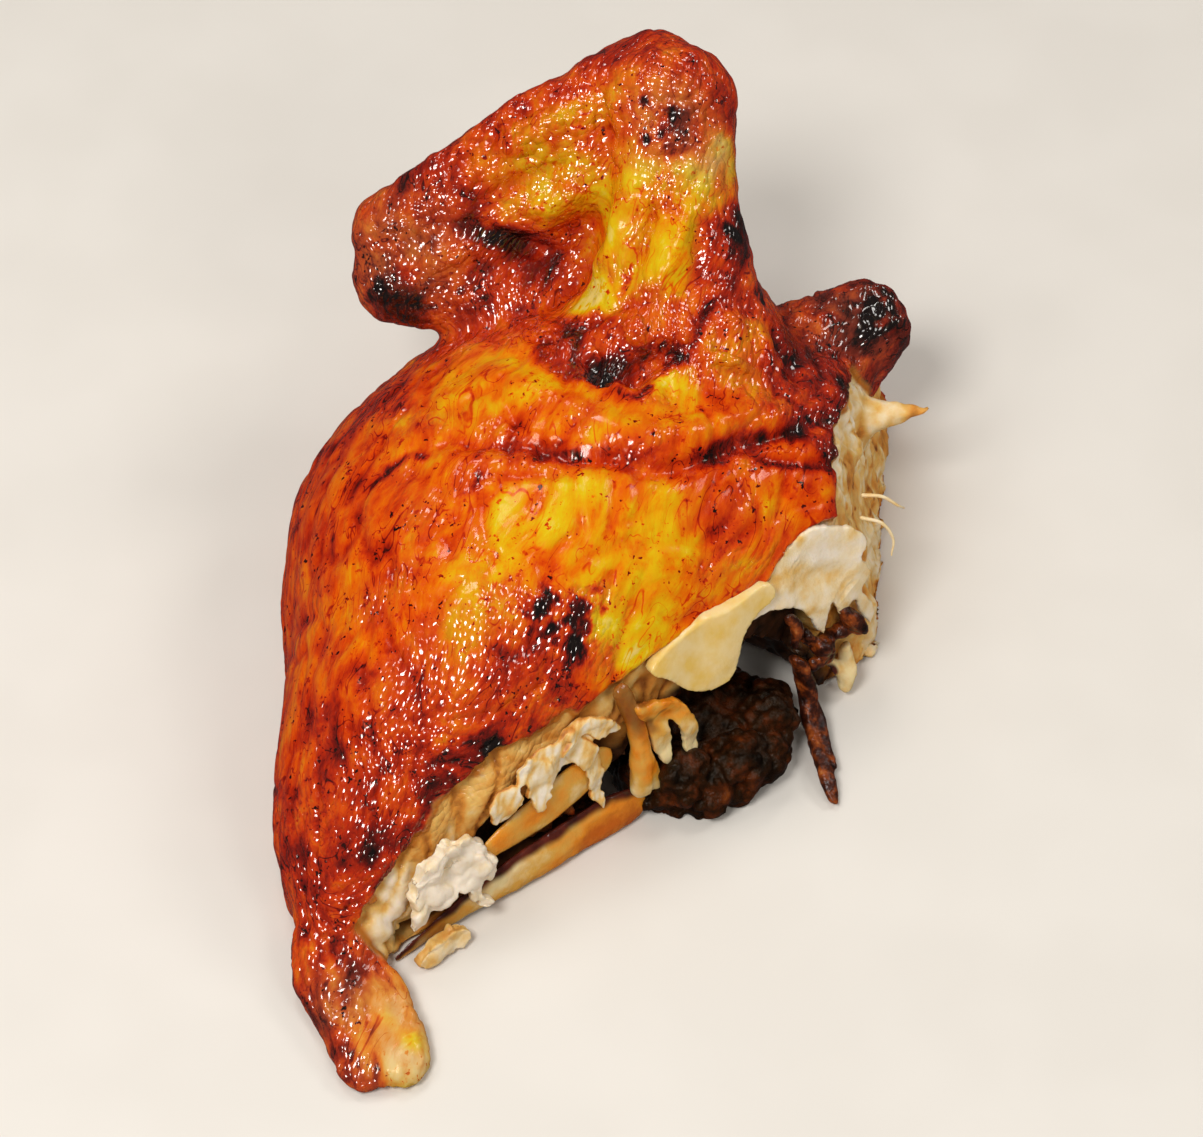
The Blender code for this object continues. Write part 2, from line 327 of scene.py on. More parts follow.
# How roasted the skin is at the spots below, as (x, y, z, reach, percent): 0 is pale yellow, 40 orange,
# 60 red-brown and 100 charred. Where no spot reaches it is PLAIN_ROAST.
PLAIN_ROAST = 0.5
PLAIN_WEIGHT = 0.02
ROAST_SPOTS = (
    # the breast
    (60, 31, 52, 6, 12), (69, 30, 53, 6, 14), (50, 26, 49, 5, 18), (50, 35, 49, 5, 30), (58, 22, 49, 5, 32),
    (65, 20, 49, 5, 24), (73, 21, 50, 5, 20), (78, 27, 53, 5, 24), (82, 18, 49, 6, 10), (67, 12, 42, 6, 12),
    (71, 8, 38, 6, 12), (76, 12, 43, 5, 20), (86, 10, 41, 6, 28), (91, 12, 43, 5, 38), (95, 17, 47, 5, 44),
    (102, 14, 44, 6, 32), (104, 9, 39, 5, 42), (113, 16, 43, 6, 38), (118, 15, 41, 5, 50),
    (55, 47, 50, 6, 32), (62, 46, 52, 5, 36), (49, 47, 48, 6, 42), (42, 50, 43, 7, 40), (40, 36, 45, 6, 38),
    (33, 40, 40, 7, 38), (48, 69, 39, 8, 44), (59, 67, 45, 6, 34), (42, 70, 31, 8, 44), (31, 59, 26, 9, 44),
    (24, 44, 30, 8, 40), (15, 28, 28, 8, 50), (23, 27, 35, 6, 46), (42, 21, 45, 5, 28), (42, 28, 46, 4, 34),
    (32, 20, 41, 6, 50), (36, 14, 38, 5, 40), (43, 12, 38, 6, 60), (53, 10, 38, 5, 56), (59, 9, 37, 4, 42),
    (18, 14, 30, 6, 56), (11, 19, 25, 7, 54), (10, 11, 22, 5, 70), (4, 16, 16, 8, 60), (32, 8, 31, 5, 64),
    (22, 8, 25, 5, 60), (14, 5, 18, 5, 66), (8, 5, 14, 5, 66),
    # the shoulder
    (66, 78, 41, 8, 50), (75, 72, 47, 6, 34), (72, 64, 50, 6, 20), (80, 65, 51, 6, 27), (68, 56, 52, 5, 26),
    (80, 56, 53, 5, 26), (83, 46, 55, 5, 34), (87, 36, 55, 5, 30), (98, 31, 53, 7, 35),
    (110, 29, 49, 7, 36), (120, 28, 44, 5, 58), (125, 22, 41, 6, 68), (93, 59, 53, 5, 66),
    (92, 52, 54, 4, 70), (102, 51, 57, 4, 42), (97, 55, 55, 3, 54), (108, 52, 59, 4, 46),
    (113, 46, 57, 4, 40), (117, 45, 56, 3, 46), (113, 39, 53, 4, 30), (118, 41, 53, 4, 28),
    (121, 50, 58, 4, 56), (96, 37, 54, 4, 30), (102, 39, 54, 4, 8), (124, 42, 50, 4, 24),
    (121, 34, 46, 5, 60), (128, 40, 45, 5, 72), (129, 33, 42, 6, 76),
    # the wing
    (117, 74, 71, 5, 17), (111, 71, 64, 5, 16), (109, 65, 62, 5, 14), (103, 65, 55, 4, 0),
    (114, 57, 63, 4, 12), (118, 59, 67, 4, 12), (121, 63, 70, 4, 24), (125, 63, 71, 4, 20),
    (131, 66, 73, 4, 12), (133, 62, 68, 4, 28), (125, 56, 63, 5, 66), (131, 59, 62, 4, 78),
    (126, 53, 60, 4, 60), (128, 48, 51, 5, 64), (120, 53, 61, 4, 56), (126, 68, 75, 3, 16),
    (131, 79, 83, 5, 50), (124, 79, 80, 4, 42), (128, 71, 78, 4, 52), (136, 74, 80, 6, 58),
    (120, 72, 75, 4, 32), (123, 87, 79, 4, 32), (133, 91, 82, 6, 58), (118, 82, 73, 3, 40),
    (118, 93, 77, 5, 56), (112, 86, 71, 4, 28), (116, 89, 76, 4.5, 20), (108, 92, 73, 4.5, 19),
    (101, 91, 67, 4.5, 24), (107, 87, 68, 4, 22), (104, 95, 71, 3, 46), (96, 96, 67, 5, 54),
    (109, 98, 74, 6, 60), (98, 101, 68, 7, 62), (87, 99, 61, 7, 58), (107, 82, 62, 4, 20),
    (112, 82, 68, 4, 20), (101, 87, 62, 4, 22), (95, 91, 62, 4, 60), (110, 79, 55, 4, 40),
    # the first three spots on the next line lie down the deep fold in the wing's web, and their dark is
    # painted shade
    (105, 81, 53, 4, 64), (98, 86, 57, 4, 78), (93, 91, 60, 4, 74), (82, 96, 54, 6, 52),
    (76, 98, 50, 5, 58), (77, 94, 48, 5, 80), (80, 89, 47, 5, 74), (86, 90, 52, 5, 60), (92, 83, 50, 6, 66),
    (102, 78, 48, 6, 54),
    # the lobe and the strip
    (137, 43, 38, 7, 66), (150, 44, 39, 8, 70), (155, 40, 35, 8, 70), (153, 48, 30, 8, 74),
    (-4, 0, 7, 7, 62), (-7, -11, 5, 5, 60), (-11, -17, 4, 4, 62), (1, -19, 4, 6, 8), (3, -12, 5, 5, 12),
    (4, -6, 6, 4, 24),
    # the back
    (40, 85, 15, 20, 56), (80, 97, 15, 22, 50), (120, 88, 15, 20, 56), (145, 66, 15, 14, 62),
    (110, 95, 35, 16, 46), (95, 100, 45, 12, 56), (130, 85, 60, 10, 60),
)
# Spots as (x, y, z, radius): burnt ones, ones blistered into small shiny domes, and thick leathery ones.
CHAR_SPOTS = (
    (56, 18, 46, 3.5), (60, 15, 44, 3), (64, 16, 45, 2.2), (58, 12, 41, 3), (37, 8, 32, 2.4),
    (29, 6, 27, 2.6), (30, 12, 34, 2), (84, 30, 55, 1.2), (122, 74, 77, 1.5), (127, 74, 79, 2),
    (125, 79, 81, 1.5), (128, 57, 63, 2.6), (129, 49, 52, 2), (76, 96, 48, 3), (81, 91, 47, 2.2),
    (88, 86, 48, 1.6), (149, 41, 37, 2.6), (154, 44, 37, 3),
)
BLISTERED_SPOTS = (
    (20, 12, 30, 14), (36, 18, 40, 12), (50, 18, 45, 9), (62, 12, 41, 6), (100, 94, 67, 10),
    (114, 92, 76, 10), (128, 74, 79, 11), (117, 43, 55, 8), (98, 52, 57, 8), (83, 94, 54, 7),
)
LEATHER_SPOTS = (
    (127, 74, 79, 7), (131, 67, 73, 4), (80, 96, 54, 12), (148, 44, 38, 12), (-4, -8, 5, 9),
    (2, -18, 4, 12),
)

# The long fold across the breast below the shoulder, and the smooth roll of skin just above it.
FOLD = (
    (59, 62, 48), (66, 51, 52), (72, 45, 54), (77, 36, 55), (82, 32, 55), (86, 27, 54), (93, 25, 52),
    (103, 25, 50), (113, 24, 47), (124, 25, 42), (133, 27, 35),
)
ROLL = ((76, 68, 49), (80, 56, 53), (84, 44, 55), (88, 34, 55), (98, 30, 53), (112, 29, 49), (122, 30, 45))
# The breast's smaller creases, and those of the wing and shoulder, as (width, depth, *path).
BREAST_CREASES = (
    (1.3, 1.3, (103, 22, 48), (106, 22, 48), (113, 19, 44), (119, 17, 41), (124, 15, 34)),
    (1.2, 1.2, (70, 68, 47), (75, 58, 52), (74, 49, 54), (74, 44, 54)),
    (1.1, 0.7, (80, 30, 54), (88, 29, 54), (97, 30, 53)),
    (1.1, 0.8, (62, 42, 52), (56, 35, 51), (53, 25, 49), (51, 20, 47)),
    (1, 0.8, (71, 30, 54), (69, 25, 52), (63, 24, 51), (60, 20, 48), (59, 17, 46)),
    (1, 0.7, (73, 22, 50), (77, 22, 51), (84, 21, 50), (88, 19, 49)),
    (1, 0.5, (80, 27, 53), (77, 24, 52), (73, 22, 51)),
    (1, 0.6, (50, 41, 49), (50, 37, 49), (48, 34, 49)),
    (1.3, 0.9, (56, 59, 48), (55, 53, 49), (56, 47, 50), (59, 47, 51)),
    (1.2, 0.8, (60, 48, 51), (66, 41, 53), (71, 37, 54), (77, 31, 54)),
    (1.1, 0.5, (84, 14, 44), (90, 14, 45), (97, 15, 45)),
    (1.1, 0.5, (88, 12, 42), (95, 12, 43), (102, 14, 43)),
    (1.3, 0.7, (46, 61, 42), (42, 52, 43), (40, 44, 44), (36, 38, 42)),
    (1.2, 0.6, (39, 58, 38), (35, 50, 38), (31, 42, 38), (26, 34, 37)),
    (1.2, 0.5, (33, 17, 40), (38, 22, 43), (41, 28, 46), (43, 36, 47)),
)
WING_CREASES = (
    (1.2, 2.2, (118, 67, 71), (114, 64, 67), (110, 62, 63), (107, 61, 60), (103, 60, 57)),
    (1.3, 1.2, (125, 60, 68), (121, 58, 67), (118, 54, 62), (113, 51, 59)),
    (1.6, 2.2, (123, 91, 79), (120, 85, 76), (117, 80, 71), (114, 76, 65)),
    (1.2, 1.3, (119, 94, 77), (110, 95, 74), (100, 97, 69), (91, 99, 64)),
    (1.2, 1.4, (114, 84, 71), (109, 86, 68), (103, 89, 66), (97, 92, 63)),
    (2, 2.6, (90, 92, 57), (94, 90, 58), (99, 86, 56), (105, 81, 52), (110, 78, 52)),
    (1.6, 3, (95, 56, 54), (92, 51, 54), (91, 46, 55)),
    (2.4, 5, (93, 45, 55), (97, 46, 55), (101, 46, 56), (106, 45, 56), (109, 47, 57)),
    (1.4, 1.3, (95, 64, 54), (99, 60, 56), (104, 58, 58), (109, 53, 59)),
    (1.3, 1.6, (118, 49, 59), (113, 47, 57), (109, 43, 56), (107, 38, 54)),
    (1.8, 1.8, (126, 45, 50), (127, 38, 45), (124, 32, 44)),
    (1.4, 0.8, (119, 70, 74), (124, 69, 76), (130, 68, 74)),
    (2, 1.6, (114, 74, 66), (108, 74, 58), (102, 74, 47)),
)
# Rolls of skin on the wing and shoulder, as (width, height, *path).
SMALL_ROLLS = (
    (2.4, 1.8, (121, 73, 75), (115, 71, 68), (109, 68, 61), (103, 67, 53)),
    (2.4, 1.9, (122, 63, 71), (117, 59, 66), (111, 57, 61), (106, 57, 59)),
    (2.2, 1.4, (116, 89, 76), (108, 91, 73), (101, 94, 70)),
    (2.8, 1, (120, 96, 78), (109, 99, 74), (98, 101, 69), (86, 105, 61)),
    (2.2, 1.7, (113, 82, 67), (107, 82, 63), (101, 87, 62)), (1.6, 1.5, (124, 43, 51), (120, 36, 48)),
    (3.2, 1.6, (91, 61, 52), (94, 58, 53)), (3, 2.2, (100, 53, 57), (104, 51, 58)),
    (4, 2.2, (114, 40, 54), (112, 38, 53)), (2.2, 1.2, (116, 46, 57), (121, 44, 54)),
    (3, 1, (91, 88, 55), (84, 93, 54)),
)
# Dark lines, burnt skin and painted shade, as (width, how much darker, *path).
BURNT_AND_SHADE_LINES = (
    (1, 0.26, *FOLD), (1.3, 0.36, (72, 43, 54), (75, 40, 54), (79, 35, 55)),
    (2, 0.26, (93, 26, 52), (99, 25, 51), (106, 26, 49), (114, 25, 46)),
    (1, 0.3, (105, 22, 48), (113, 18, 44), (120, 16, 40)),
    (2, 0.65, (95, 54, 54), (92, 50, 54), (91, 46, 55)),
    (2.6, 0.75, (96, 45, 55), (101, 46, 56), (106, 45, 56), (108, 46, 57)),
    (1.2, 0.5, (92, 43, 55), (94, 41, 55), (99, 43, 55)),
    (0.6, 0.45, (114, 63, 66), (110, 62, 63), (107, 61, 60), (104, 60, 58)),
    (0.9, 0.16, (117, 68, 70), (113, 66, 66), (108, 65, 62)),
    (1.6, 0.12, (122, 67, 72), (118, 64, 69), (122, 61, 69)),
    # painted shade: the deep fold in the wing's web
    (2, 0.3, (92, 91, 58), (98, 86, 56), (105, 81, 52)),
    (1.4, 0.25, (121, 72, 75), (125, 70, 76), (130, 69, 75)),
    (1.4, 0.3, (118, 49, 59), (113, 47, 57), (109, 43, 56)),
    (1.2, 0.4, (114, 73, 66), (108, 73, 58), (102, 73, 48)),
    (1.3, 0.35, (126, 45, 50), (125, 38, 46), (122, 34, 46)),
    (1.2, 0.4, (50, 60, 46), (56, 59, 48), (60, 54, 50)),
    (1.2, 0.3, (66, 51, 52), (62, 45, 52), (58, 41, 51)),
)
# Along the breastbone cut, as (x, mm): how far the skin has shrunk back, and how high its torn edge stands.
SKIN_SHRUNK = (
    (5, 1.5), (14, 2.8), (30, 2.6), (45, 1.6), (58, 0.6), (70, -0.2), (94, 0), (101, 1.8), (112, 3.2),
    (119, 3.4), (124, 1),
)
SKIN_EDGE = ((0, 6), (10, 9), (20, 16), (28, 22), (48, 28), (72, 32), (92, 32), (105, 36), (121, 36))
# Lines through the middle of the wing and of the dark lobe at the neck end.
WING = ((112, 53, 46), (133, 83, 74), (82, 100, 52), (101, 79, 46))
LOBE = ((126, 50, 27), (141, 48, 28), (156, 46, 31))
LOBE_RADIUS = 12
# Which way the skin's wrinkles, the meat's fibres and the streaks at the ends run.
SKIN_RUN = (0.77, 0.61, 0.19)
MEAT_RUN = (0.55, 0.2, 0.8)
NECK_RUN = (0.3, 0.35, 0.9)
LOBE_RUN = (0.96, -0.1, 0.25)
STRIP_RUN = (0.35, 0.9, 0.15)
# The pale flap of the tail strip and the lumpy meat at the tail, each a place and radius; the meat that the
# white flap covers, as (x, y, z, radius); and the middle and radii in x and z of the hollow by the ribs.
STRIP_FLAP = ((2, -13, 5), 7)
TAIL_END = ((10, 3, 9), 11)
FLAP_BACKING = ((110, 6, 33, 14), (98, 5, 34, 9))
SIDE_HOLLOW = ((97, 19), (9.5, 11))


def roast_level(points):
    """The level at each point, blended from the spots around it."""
    total = np.full(len(points), PLAIN_WEIGHT)
    level = total * PLAIN_ROAST
    wandering = warped(warped(points, 9, 2.2, 41), 3, 0.8, 44)
    for *place, reach, percent in ROAST_SPOTS:
        share = patch(wandering, place, 0.85 * reach) + 1e-9
        total += share
        level += share * (percent / 100)
    return level / total


def on_lobe(points):
    return smooth(1.0, -1.0, near(points, curve(LOBE))[0] - LOBE_RADIUS)


def on_cut(points):
    """1 on the bare meat of the cuts, 0 on skin, with a ragged edge between."""
    x, y = points.T[:2]
    ragged = profile(x, SKIN_SHRUNK) + 0.9 * waves(points, 8, 1) + 0.6 * waves(points, 2.5, 2)
    along_breast = inward(points, BREASTBONE_CUT) - np.maximum(ragged, 0.8)
    torn = 0.8 + 1.2 * waves(points, 7, 3) + 0.7 * waves(points, 2.5, 4)
    along_neck = inward(points, NECK_CUT) - np.maximum(torn, 0.7)
    bare = smooth(0.4, -0.4, np.minimum(along_breast, along_neck))
    return bare * (1 - smooth(8, 4, x + 0.4 * y)) * (1 - on_lobe(points))


def fold_skin(meat, on):
    """Folds, rolls and creases. Returns how deep in one of them each point lies, for painted shade there."""
    points = meat.points
    fold = line(points, FOLD, 2.0)
    heights = 1.6 * line(points, ROLL, 3.4) - 1.9 * fold
    crease_shade = fold.copy()
    for width, height, *spots in SMALL_ROLLS:
        heights += height * line(points, spots, width, 0.25)
    for creased, darker in ((WING_CREASES, 0.5), (BREAST_CREASES, 0.9)):
        for width, depth, *spots in creased:
            crease = line(points, spots, width, 0.25)
            heights -= depth * crease
            crease_shade += darker * crease
    meat.push(heights * on.skin)
    return unit(crease_shade)


def wrinkle_skin(meat, on, crease_shade):
    """Fine wrinkles along the skin's grain, and blisters where it has browned.

    Returns the places that the grain's noise is read at, and the depths for painted shade in the creases with
    the wrinkles added.
    """
    points = meat.points
    grain = along_grain(warped(points, 14, 3, 51), SKIN_RUN, 3.0)
    coarse = creases(grain, 7.0, 6)
    fine = creases(grain, 3.2, 9, 0.18)
    blistered = on.browned * smooth(-0.1, 0.4, waves(points, 9, 12)) * on.breast
    heights = -0.5 * coarse * on.breast - 0.2 * fine * on.skin
    heights += 0.5 * blistered * bubbles(grain, 3.0, 5)
    heights += on.wing * (0.5 * waves(points, 5, 16) + 0.25 * waves(points, 2.6, 17))
    meat.push(heights)
    return grain, unit(crease_shade + 0.35 * coarse * on.breast + 0.2 * fine * on.skin)


def streak_ends(meat, on):
    """Streaks along the leathery tail strip and neck lobe, and bumps on the strip's pale flap."""
    points = meat.points
    on.strip = smooth(6, 2, points[:, 0] + 0.4 * points[:, 1])
    on.lobe = on_lobe(points) * smooth(128, 134, points[:, 0])
    on.flap = on.strip * patch(points, *STRIP_FLAP)
    strip_streaks = ridges(along_grain(points, STRIP_RUN, 4), 3.0, 18) - 0.4
    lobe_streaks = ridges(along_grain(points, LOBE_RUN, 3), 3.6, 19) - 0.4
    meat.push(0.9 * on.flap * (bubbles(warped(points, 4, 1.2, 69), 3.6, 31) - 0.5))
    on_both = on.lobe * (0.9 * lobe_streaks + 0.7 * waves(points, 3.5, 20))
    meat.push(1.3 * on.strip * (1 - on.flap) * strip_streaks + on_both)


def open_hollows(meat, on):
    """Presses in a hollow behind the breastbone and one beside the rib hollow. Returns where they are."""
    points = meat.points
    x, _, z = points.T
    shelf = profile(x, SKIN_EDGE) - 7.0 + 1.2 * waves(points, 5, 21) + 0.7 * waves(points, 2, 22)
    behind_bone = smooth(-0.6, 0.8, shelf - z) * smooth(9, 13, x) * smooth(64, 58, x)
    (at_x, at_z), (wide, tall) = SIDE_HOLLOW
    across = np.hypot((x - at_x) / wide, (z - at_z) / tall)
    across = across + 0.22 * waves(points, 4, 23) + 0.12 * waves(points, 1.8, 24)
    hollow = unit(behind_bone + smooth(1.08, 0.92, across)) * on.cut
    hollow = hollow * smooth(9, 5, inward(points, BREASTBONE_CUT)) * smooth(1.0, 2.5, z)
    meat.press(-OUT, 4.0 * hollow)
    return hollow


def tear_meat(meat, on):
    """Flaky meat on the breastbone cut, and strands, fat and brown flecks on the neck cut."""
    points = meat.points
    from_neck = inward(points, NECK_CUT)
    near_neck = smooth(7, 2, from_neck) * on.cut
    behind_flap = unit(patches(points, FLAP_BACKING))
    smeared = behind_flap * (1 - near_neck)
    flakes = along_grain(points, MEAT_RUN, 3.0)
    seams = creases(flakes, 5, 17) * (1 - near_neck)
    lumps = 1.0 * waves(points, 6, 8) + 0.9 * (bubbles(points, 6.5, 25) - 0.5)
    rough = 0.9 * (ridges(flakes, 3.6, 7) - 0.5) + lumps - 0.6 * seams
    rough = on.cut * (1 - 0.8 * smeared) * (1 - 0.6 * near_neck) * rough
    meat.push(rough - 0.8 * behind_flap * on.cut)
    tail_end = on.cut * patch(points, *TAIL_END)
    meat.push(2.2 * tail_end * (bubbles(warped(points, 4, 1.5, 68), 4.6, 30) - 0.5))

    # The pointed shard on the neck cut stays smoother than the face around it.
    strands = ridges(along_grain(warped(points, 12, 5, 56), NECK_RUN, 3.5), 3.0, 57)
    peg = near_neck * smooth(-0.5, -1.6, from_neck)
    near_neck = near_neck * (1 - peg) * (1 - 0.9 * behind_flap)
    fatty = near_neck * unit(smooth(-0.2, 0.4, waves(points, 12, 58)) + smooth(30, 38, points[:, 2]))
    flecks = near_neck * smooth(0.36, 0.6, waves(warped(points, 3, 0.8, 64), 1.8, 65))
    swollen = 1.2 * waves(points, 7, 59) + 0.5 * waves(points, 3, 60)
    swollen = swollen + 1.1 * (strands - 0.5) * (1 - 0.6 * fatty)
    meat.push(near_neck * swollen + 0.5 * peg * (bubbles(points, 3.2, 28) - 0.6))
    meat.push(fatty * (1.3 * bubbles(points, 4.0, 28) + 0.6 * bubbles(points, 2.2, 29) - 0.9))

    x, _, z = meat.points.T
    tone = meat_level(meat.points) + 0.3 * fatty + 0.45 * near_neck * (strands - 0.45)
    tone -= 0.2 * smooth(8, 1, z) * (1 - near_neck)
    tone += 0.22 * peg * smooth(-10, -6, from_neck)
    # Painted shade: the meat is darker down its seams.
    tone += 0.34 * smeared - 0.3 * seams * (1 - smeared) - 0.4 * flecks
    under_skin = smooth(-1.0, 0.6, z - profile(x, SKIN_EDGE) + 3.0)
    tone += 0.1 * under_skin * (1 - near_neck) + 0.3 * tail_end
    meat.keep(tone=tone)


def brown_skin(meat, on, roast, crease_shade, grain):
    """Keeps how roasted, burnt, pebbled, leathery and dotted the skin is, with painted shade in its creases.
    """
    points = meat.points
    charred = patches(points, CHAR_SPOTS, 1 + 0.9 * waves(points, 2.2, 31))
    roast = roast + 0.16 * waves(points, 6, 32) + 0.1 * waves(grain, 2.0, 33) - 0.05 * on.browned
    roast += 0.14 * on.browned * waves(warped(grain, 5, 2, 67), 4.0, 66)
    roast += 0.4 * on.strip * (ridges(along_grain(points, STRIP_RUN, 5), 2.4, 39) - 0.45)
    burnt = np.clip(charred, 0, 1.1)
    # Each line darkens the skin and counts as burnt; the one down the web's fold is painted shade.
    for width, amount, *spots in BURNT_AND_SHADE_LINES:
        stroke = line(points, spots, width, 0.2)
        roast += 0.5 * amount * stroke
        burnt += 1.5 * amount * stroke
    # Painted shade: the skin is coloured darker in its folds, creases and wrinkles.
    roast = roast + 0.2 * crease_shade + 0.22 * unit(charred)
    burnt = unit(burnt)
    blisters = patches(points, BLISTERED_SPOTS)
    pebbled = 0.22 + 0.5 * on.browned + 0.3 * on.wing - 0.4 * smooth(0.34, 0.16, roast)
    pebbled = pebbled + 0.4 * waves(points, 8, 36) + 0.4 * burnt + 0.6 * blisters
    meat.keep(
        roast=unit(roast),
        burnt=burnt,
        pebbled=unit(pebbled) * (1 - 0.35 * on.lobe) * (1 - 0.8 * on.flap),
        leather=unit(patches(points, LEATHER_SPOTS)) * smooth(-0.9, 0.1, waves(points, 5, 38)),
        dotted=on.wing * (0.2 + np.clip(blisters, 0, 0.8)) * smooth(-0.35, 0.15, waves(points, 10, 37)),
        grain=grain * MM,
    )


def make_meat():
    whole = remeshed(copy_of("meat_and_skin", "meat"), SKIN_VOXEL, SKIN_SMOOTHING)
    meat = Surface(thinned(whole, MEAT_TRIANGLES))
    points = meat.points
    reach = (points - np.array(RIB_HOLLOW_CENTRE)) / np.array(RIB_HOLLOW_RADII)
    by_ribs = np.sqrt((reach**2).sum(1))
    roast = roast_level(points)
    on = SimpleNamespace()  # where each kind of surface is, from 0 to 1
    on.cut = np.maximum(on_cut(points), smooth(1.35, 1.2, by_ribs))
    on.skin = 1 - on.cut
    on.wing = smooth(20, 14, near(points, curve(WING))[0]) * on.skin
    on.breast = on.skin * (1 - on.wing)
    on.browned = smooth(0.45, 0.62, roast) * on.skin

    # Broad lumps, then the step down from the skin's torn edge to the meat.
    meat.push(on.skin * (0.8 * waves(points, 26, 3) + 0.5 * waves(points, 12, 4)))
    meat.push(0.8 * on.skin - 1.0 * on.cut)
    crease_shade = fold_skin(meat, on)
    grain, crease_shade = wrinkle_skin(meat, on, crease_shade)
    streak_ends(meat, on)
    hollow = open_hollows(meat, on)
    tear_meat(meat, on)
    brown_skin(meat, on, roast, crease_shade, grain)
    # Painted shade: the pressed-in hollows and the rib hollow are coloured near-black.
    meat.keep(bare=on.cut, dark=unit(hollow + smooth(1.2, 1.08, by_ribs)))
    meat.finish(skin_material(), "roast_skin", "meat_and_skin")


def meat_level(points):
    """How pale the meat is before its own marks."""
    return 0.5 + 0.2 * waves(points, 7, 26) + 0.16 * waves(points, 2.5, 27)


# -------- the bits along the cuts

# Outlines of torn sheets of meat, as (x, z, out): out is how far the sheet stands off the breastbone cut.
WHITE_CHUNK = (
    ((15, 16, 1.2), (17, 20, 1), (20, 20.5, 1), (23, 22, 1), (27, 20, 1), (30, 17.5, 1), (31, 13.5, 1.6),
        (29, 10.5, 2)),
    ((15, 17, 1.6), (21, 18, 2), (24, 15, 2.4), (21, 10.5, 2.2), (17, 9.5, 2.2), (13, 7.5, 2.2),
        (12.6, 9, 2), (14, 12, 2)),
    ((23, 18, 2), (29, 16, 2), (30, 11, 2.4), (27.5, 10, 2.6), (28.6, 5.5, 2.8), (26, 6, 2.8),
        (24.5, 10, 2.4), (22, 13, 2)),
)
CHIP = (
    ((12, 1.2, 4), (14, 4.5, 4), (17, 4.2, 4), (20, 5, 4), (23, 3.2, 4.4), (21, 1, 4.6), (17, 0.6, 4.6)),
)
SHREDS = (
    ((39, 26, 0.6), (43, 29, 0.5), (49, 30, 0.5), (55, 31, 0.6), (57, 27, 1), (52, 25, 1), (47, 22, 1.2),
        (43, 23, 1)),
    ((50, 30, 1.2), (56, 31, 1.2), (59.5, 28, 2), (60.5, 25, 2.4), (56.5, 25.5, 2.2), (54, 27.5, 1.8)),
    ((48, 28, 1.6), (53, 28, 1.8), (55.5, 23, 2), (56, 17, 2.2), (55, 9.5, 2.4), (53, 13, 2.2), (52, 20, 2),
        (50, 24, 1.6)),
    ((41, 27, 1), (45, 28, 1.2), (45.5, 22, 1.6), (42.5, 17.5, 1.8), (40.5, 20, 1.6)),
    ((33, 24, 0.6), (38, 26, 0.6), (38.5, 22, 1.2), (35, 19, 1.4), (32.5, 21, 1)),
)
TONGUE = (
    ((69, 33.5, 0), (72, 29.5, 1), (75.5, 25, 1.8), (80, 22.5, 2), (84.5, 22.8, 2), (87, 26, 1.6),
        (88.5, 29.5, 1.2), (92, 31.5, 0.6), (97, 33, 0), (96, 36, -0.8), (88, 36.4, -0.8), (79, 36.4, -0.8)),
)
WHITE_FLAP = (
    ((90, 34, -1.2), (96, 36, -2.2), (104, 38, -3.2), (110, 38.4, -3.6), (115, 35.4, -3), (118, 34, -2.4),
        (120, 30, -1.4), (117.6, 28.4, -0.6), (119.4, 24, -0.4), (117, 21, 0), (119.4, 15.6, 0.2),
        (118.4, 12.4, 0.4), (116.6, 15, 0.4), (115, 20, 0.4), (113.4, 19.4, 0.4), (112, 16.4, 0.6),
        (109.5, 23.5, 0.4), (107, 17, 0.8), (103.5, 24.5, 0.4), (99.5, 28, 0.4), (95, 30, 0.4),
        (91.5, 30.6, 0.4)),
)
# The gristle beside the rib's stub, in curled sheets.
RIB_HOOK = (
    ((63.5, 28.5, 1.8), (67, 28, 2.2), (71.4, 26, 2.6), (74.6, 22, 3), (76, 17, 3.2), (75.6, 12, 3.2),
        (74, 10, 3.2), (72.6, 13, 3), (72.6, 18, 2.8), (70.6, 21.5, 2.6), (68, 22.5, 2.4), (65, 24, 2)),
    ((66, 24, 2), (69.4, 23, 2.2), (70.6, 18.5, 2.4), (70.2, 14, 2.4), (68.8, 11.4, 2.4), (67.4, 14, 2),
        (66.6, 18, 2),),
)
# A soft fold down the white flap.
FLAP_FOLD = ((104, 4.5, 36), (106, 4, 31), (111, 3.6, 28), (114, 3.2, 23))
# Chains for the thin bones, as (x, z, out, radius).
BREASTBONE = (
    ((10, 1.2, 0.8, 1), (18, 2.8, 0.8, 2.2), (28, 4.4, 0.9, 3.4), (38, 4.9, 1.1, 4.2), (48, 5.2, 1.2, 4.6),
        (57, 5.4, 1.3, 4.8), (62, 4.6, 1.3, 3.6)),
    ((48, 4, 1.4, 3.6), (56, 4, 1.5, 4.2), (61, 3.6, 1.5, 3.6)),
)
UPPER_BLADE = (
    ((28, 11.4, 0, 1.6), (34, 13.4, 0.2, 3.2), (43, 15, 0.3, 4.4), (51, 16.8, 0.3, 4.6),
        (56, 18, 0.2, 3.6),),
)
RIB = (
    ((62.5, 32, 0.6, 1.8), (63.5, 27, 1.2, 1.9), (64.3, 20, 1.8, 2), (64, 13, 2.2, 2.5),
        (63.4, 8.6, 2.4, 2.4),),
    ((64.3, 20, 1.8, 1.4), (65.2, 13, 2.2, 1.9), (66.2, 8.2, 2.6, 1.9)),
)
